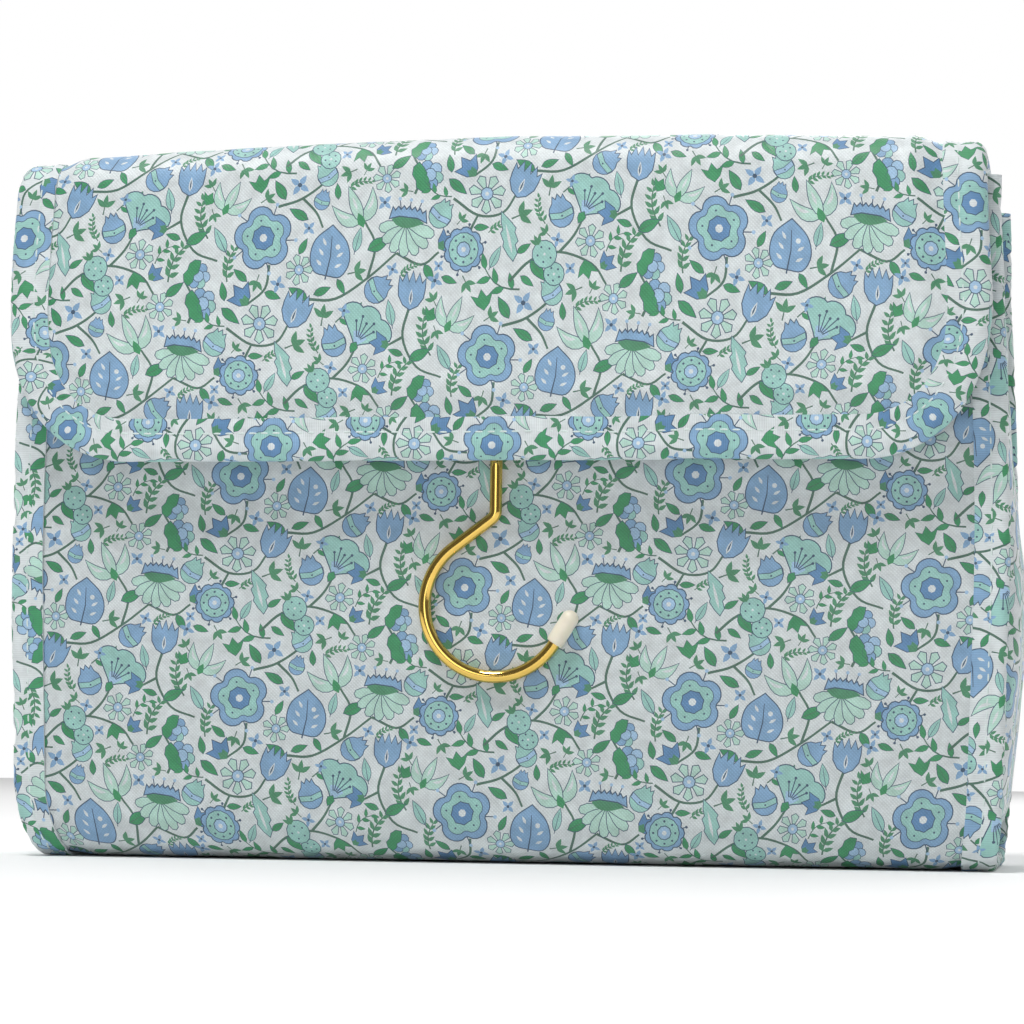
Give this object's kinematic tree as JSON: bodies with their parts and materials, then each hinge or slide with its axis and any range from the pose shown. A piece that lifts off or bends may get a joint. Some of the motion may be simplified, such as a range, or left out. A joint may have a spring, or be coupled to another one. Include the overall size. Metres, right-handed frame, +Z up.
{
  "type": "hanging toiletry bag",
  "caption": "Soft zipped toiletry bag with a fold-over flap and a wire hook behind it, which hangs the opened bag from a rail.",
  "frame": {"origin": "on the surface that the bag stands on, under the middle of its width and of its depth", "axes": "+X to the right seen from the front, the front faces -Y, +Z up; the bag stands closed, with its flap down"},
  "size_m": [0.28, 0.084, 0.198],
  "materials": {
    "printed_canvas": "coated cotton canvas with a fine cross-hatch emboss, printed with a blue, mint and green floral on off-white",
    "binding_tape": "folded tape of the printed cloth with a fine rib, stitched through in pale thread",
    "lining_cloth": "plain woven polyester, slight sheen",
    "foam": "closed-cell foam sheet",
    "board": "semi-rigid polyethylene sheet",
    "zip_tape": "woven polyester zip tape",
    "zip_teeth": "nylon coil",
    "brass": "polished, brass coloured",
    "magnet": "nickel plated",
    "tip_plastic": "smooth ivory plastic"
  },
  "bodies": {
    "bag": {"front_panel": "printed_canvas", "back_panel": "printed_canvas", "base_panel": "printed_canvas", "right_gusset": "printed_canvas", "left_gusset": "printed_canvas", "right_side_binding": "binding_tape", "left_side_binding": "binding_tape", "front_foam": "foam", "back_foam": "foam", "base_board": "board", "front_magnet_left": "magnet", "front_magnet_right": "magnet", "lining": "lining_cloth", "inner_pocket": "lining_cloth", "pocket_hem": "binding_tape", "front_zip_strip": "printed_canvas", "back_zip_strip": "printed_canvas", "front_zip_tape": "zip_tape", "back_zip_tape": "zip_tape", "front_zip_teeth": "zip_teeth", "back_zip_teeth": "zip_teeth", "zip_stop_left": "brass", "zip_stop_right": "brass", "zip_tab_left": "binding_tape", "zip_tab_right": "binding_tape"},
    "top_cover": {"top_panel": "printed_canvas", "top_foam": "foam", "top_lining": "lining_cloth", "top_binding_left": "binding_tape", "top_binding_right": "binding_tape"},
    "flap": {"flap_panel": "printed_canvas", "flap_foam": "foam", "flap_lining": "lining_cloth", "flap_binding": "binding_tape", "flap_magnet_left": "magnet", "flap_magnet_right": "magnet", "hook_strap": "binding_tape"},
    "hook": {"hook_wire": "brass", "hook_tip": "tip_plastic"},
    "slider": {"zip_slider": "brass"},
    "puller": {"zip_puller": "brass"}
  },
  "joints": [
    {"name": "top_fold", "type": "hinge", "parent": "bag", "child": "top_cover", "pos_m": [0, 0.042, 0.198], "axis": [-1, 0, 0], "range_deg": [0, 90]},
    {"name": "flap_fold", "type": "hinge", "parent": "top_cover", "child": "flap", "pos_m": [0, -0.042, 0.198], "axis": [-1, 0, 0], "range_deg": [0, 90]},
    {"name": "hook_swing", "type": "hinge", "parent": "flap", "child": "hook", "pos_m": [0, -0.0324, 0.124], "axis": [0, 1, 0], "range_deg": [-40, 40]},
    {"name": "zip_slide", "type": "slide", "parent": "bag", "child": "slider", "axis": [-1, 0, 0], "range_m": [0, 0.208]},
    {"name": "zip_pull", "type": "hinge", "parent": "slider", "child": "puller", "pos_m": [0.104, 0.00575, 0.1769], "axis": [0, 1, 0], "range_deg": [0, 180]}
  ]
}
